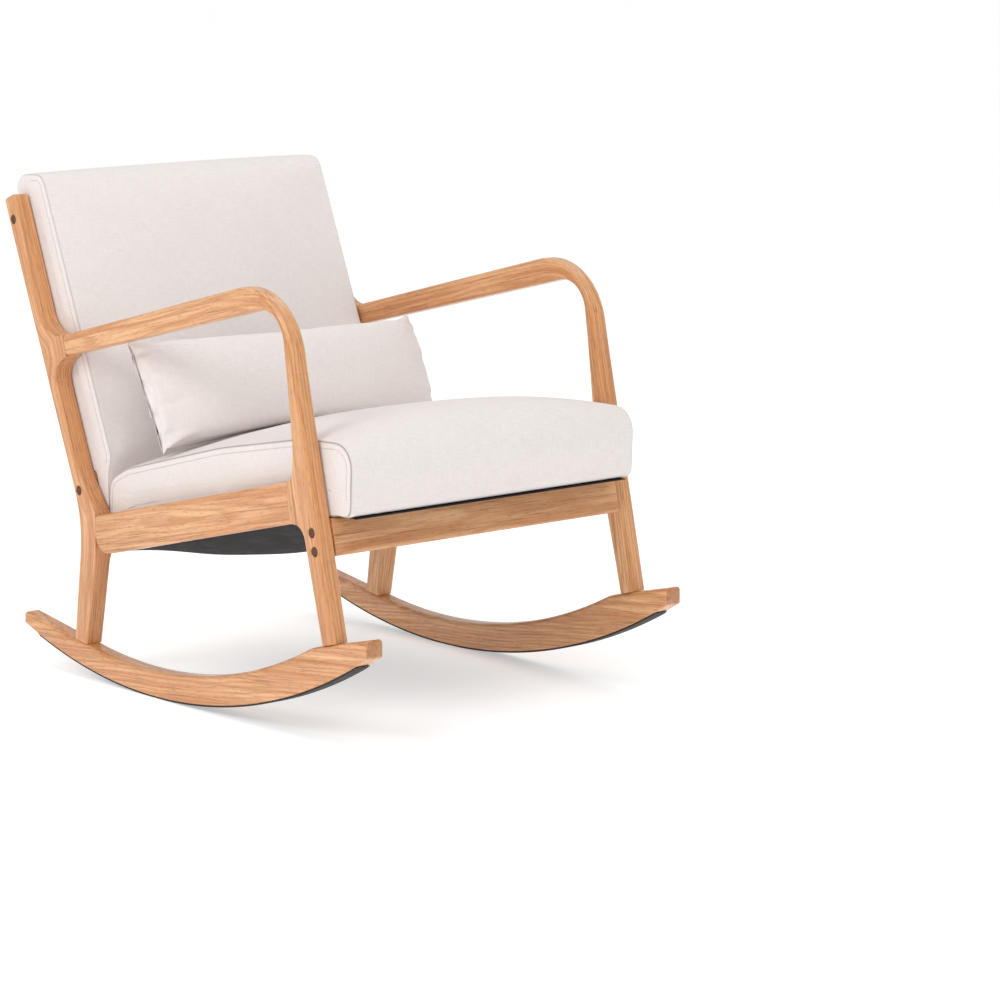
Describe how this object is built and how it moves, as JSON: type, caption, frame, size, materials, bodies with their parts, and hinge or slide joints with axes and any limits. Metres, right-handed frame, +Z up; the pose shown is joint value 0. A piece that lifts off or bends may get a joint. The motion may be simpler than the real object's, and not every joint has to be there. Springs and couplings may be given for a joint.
{
  "type": "rocking armchair",
  "caption": "Rocking armchair with flat board side frames on curved runners, a padded seat, a leaning padded back and a loose lumbar pillow.",
  "frame": {"origin": "on the floor, under the middle of the chair's bounding box", "axes": "+Z up, the sitter faces -Y, +X is towards the sitter's left"},
  "size_m": [0.611, 0.8964, 0.768],
  "materials": {
    "wood": "satin lacquered honey-toned rubberwood with visible grain",
    "linen": "matte off-white woven upholstery cloth",
    "cloth_black": "matte black non-woven dust cloth",
    "webbing": "coarse jute webbing",
    "rubber": "matte black strip",
    "cap_brown": "dark brown cover caps",
    "steel": "zinc-plated fasteners"
  },
  "bodies": {
    "chair": {"armrest_left": "wood", "armrest_right": "wood", "back_board": "wood", "back_cushion": "linen", "back_panel": "linen", "back_screw_left": "steel", "back_screw_right": "steel", "barrel_nut_back_left": "steel", "barrel_nut_back_right": "steel", "barrel_nut_leg_lower_left": "steel", "barrel_nut_leg_lower_right": "steel", "barrel_nut_leg_upper_left": "steel", "barrel_nut_leg_upper_right": "steel", "barrel_nut_seat_left": "steel", "barrel_nut_seat_right": "steel", "bolt_back_left": "steel", "bolt_back_right": "steel", "bolt_leg_lower_left": "steel", "bolt_leg_lower_right": "steel", "bolt_leg_upper_left": "steel", "bolt_leg_upper_right": "steel", "bolt_seat_left": "steel", "bolt_seat_right": "steel", "cap_back_left": "cap_brown", "cap_back_right": "cap_brown", "cap_leg_lower_left": "cap_brown", "cap_leg_lower_right": "cap_brown", "cap_leg_upper_left": "cap_brown", "cap_leg_upper_right": "cap_brown", "cap_seat_left": "cap_brown", "cap_seat_right": "cap_brown", "dust_cover": "cloth_black", "front_leg_left": "wood", "front_leg_right": "wood", "front_rail": "wood", "rear_post_left": "wood", "rear_post_right": "wood", "rear_rail": "wood", "rocker_left": "wood", "rocker_pad_left": "rubber", "rocker_pad_right": "rubber", "rocker_right": "wood", "seat_cushion": "linen", "seat_member_front": "wood", "seat_member_rear": "wood", "seat_screw_front_left": "steel", "seat_screw_front_right": "steel", "seat_screw_rear_left": "steel", "seat_screw_rear_right": "steel", "seat_stile_left": "wood", "seat_stile_right": "wood", "seat_webbing_1": "webbing", "seat_webbing_2": "webbing", "seat_webbing_3": "webbing", "seat_webbing_4": "webbing", "side_rail_left": "wood", "side_rail_right": "wood"},
    "pillow": {"pillow": "linen"}
  },
  "joints": [
    {"name": "pillow_lift", "type": "slide", "parent": "chair", "child": "pillow", "axis": [0, 0, 1], "range_m": [0, 0.45]}
  ]
}
